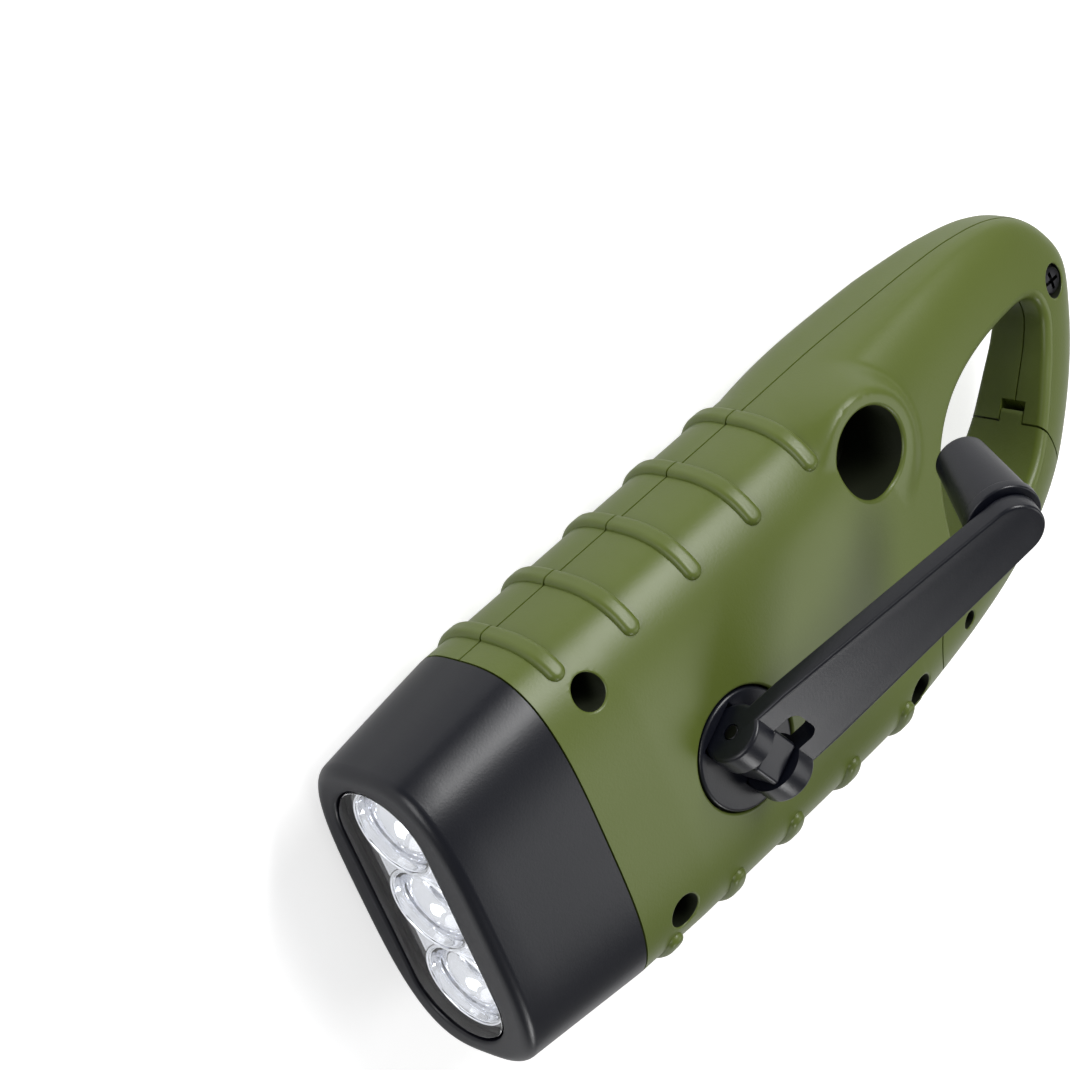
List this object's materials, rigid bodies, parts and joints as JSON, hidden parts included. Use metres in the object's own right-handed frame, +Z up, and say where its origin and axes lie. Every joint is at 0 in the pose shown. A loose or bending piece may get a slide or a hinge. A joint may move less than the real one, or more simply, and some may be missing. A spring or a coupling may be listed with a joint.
{
  "type": "hand crank flashlight",
  "caption": "Hand crank flashlight: green two-part body with grip ribs, black lamp head, solar panel, folding crank with knob, carabiner loop with sprung gate.",
  "frame": {"origin": "middle of the bounding box in plan, on the plane that the solar frame rests on", "axes": "+Z up out of the crank side, +Y along the body from the lamp head to the carabiner loop, +X towards the gate; the beam points to -Y"},
  "size_m": [0.0566, 0.1468, 0.0636],
  "materials": {
    "green_shell": "satin moulded plastic, olive green",
    "black_plastic": "satin moulded plastic, near black",
    "panel_frame": "polished moulded plastic, near black",
    "clear_lens": "clear polished plastic",
    "led_dome": "clear moulded resin",
    "reflector_plating": "mirror plating on plastic",
    "solar_cell": "clear resin over a red-brown cell",
    "circuit_board": "solder mask on glass laminate",
    "steel": "plain bright steel",
    "battery_can": "nickel plated steel",
    "gear_plastic": "natural white moulded plastic",
    "switch_plastic": "moulded plastic, black",
    "brass": "turned brass",
    "copper": "enamelled copper wire, drawn as one ring",
    "magnet": "sintered ferrite"
  },
  "bodies": {
    "body": {"crank_side_shell": "green_shell", "solar_side_shell": "green_shell", "head_bezel": "black_plastic", "lens": "clear_lens", "reflector": "reflector_plating", "led_1": "led_dome", "led_2": "led_dome", "led_3": "led_dome", "led_board": "circuit_board", "solar_frame": "panel_frame", "solar_cell": "solar_cell", "gate_pin": "steel", "gate_spring": "steel", "tact_switch": "switch_plastic", "main_board": "circuit_board", "battery_cell_1": "battery_can", "battery_cell_2": "battery_can", "battery_cell_3": "battery_can", "battery_cradle": "gear_plastic", "generator_housing": "steel", "generator_cap": "switch_plastic", "generator_coil": "copper", "gear_plate": "steel", "plate_screw_1": "steel", "plate_screw_2": "steel", "plate_screw_3": "steel", "idler_axle": "steel", "case_screw_1": "steel", "case_screw_2": "steel", "case_screw_3": "steel", "case_screw_4": "steel"},
    "gate": {"gate": "green_shell"},
    "button": {"button_cap": "black_plastic", "tact_plunger": "gear_plastic"},
    "crank": {"crank_hub": "black_plastic", "fold_pin": "steel", "hub_screw": "steel", "hub_washer": "steel", "crank_gear": "gear_plastic"},
    "arm": {"crank_arm": "black_plastic", "knob_screw": "steel"},
    "knob": {"crank_knob": "black_plastic"},
    "idler": {"idler_gear": "gear_plastic"},
    "rotor": {"generator_rotor": "magnet", "generator_pinion": "brass"}
  },
  "joints": [
    {"name": "crank_turn", "type": "hinge", "parent": "body", "child": "crank", "pos_m": [0.00407, -0.02524, 0.0356], "axis": [0, 0, 1], "continuous": true},
    {"name": "crank_fold", "type": "hinge", "parent": "crank", "child": "arm", "pos_m": [0.00407, -0.02524, 0.0356], "axis": [0.891, 0.454, 0], "range_deg": [-32, 148]},
    {"name": "knob_spin", "type": "hinge", "parent": "arm", "child": "knob", "pos_m": [-0.01356, 0.00936, 0.05987], "axis": [0.2406, -0.4722, 0.848], "continuous": true},
    {"name": "gate_swing", "type": "hinge", "parent": "body", "child": "gate", "pos_m": [0.01927, 0.02386, 0.015], "axis": [0, 0, 1], "range_deg": [0, 30], "stiffness_Nm_per_rad": 0.1, "springref_deg": -20.05},
    {"name": "button_press", "type": "slide", "parent": "body", "child": "button", "axis": [-1, 0, 0], "range_m": [0, 0.0012], "stiffness_N_per_m": 900, "springref_m": -0.0008},
    {"name": "idler_spin", "type": "hinge", "parent": "body", "child": "idler", "pos_m": [-0.01056, -0.01679, 0.024], "axis": [0, 0, 1], "continuous": true},
    {"name": "generator_spin", "type": "hinge", "parent": "body", "child": "rotor", "pos_m": [-0.00784, -0.03225, 0.018], "axis": [0, 0, 1], "continuous": true}
  ],
  "couplings": [
    {"joint": "idler_spin", "follows": "crank_turn", "ratio": -3.6667},
    {"joint": "generator_spin", "follows": "crank_turn", "ratio": 12.222}
  ]
}
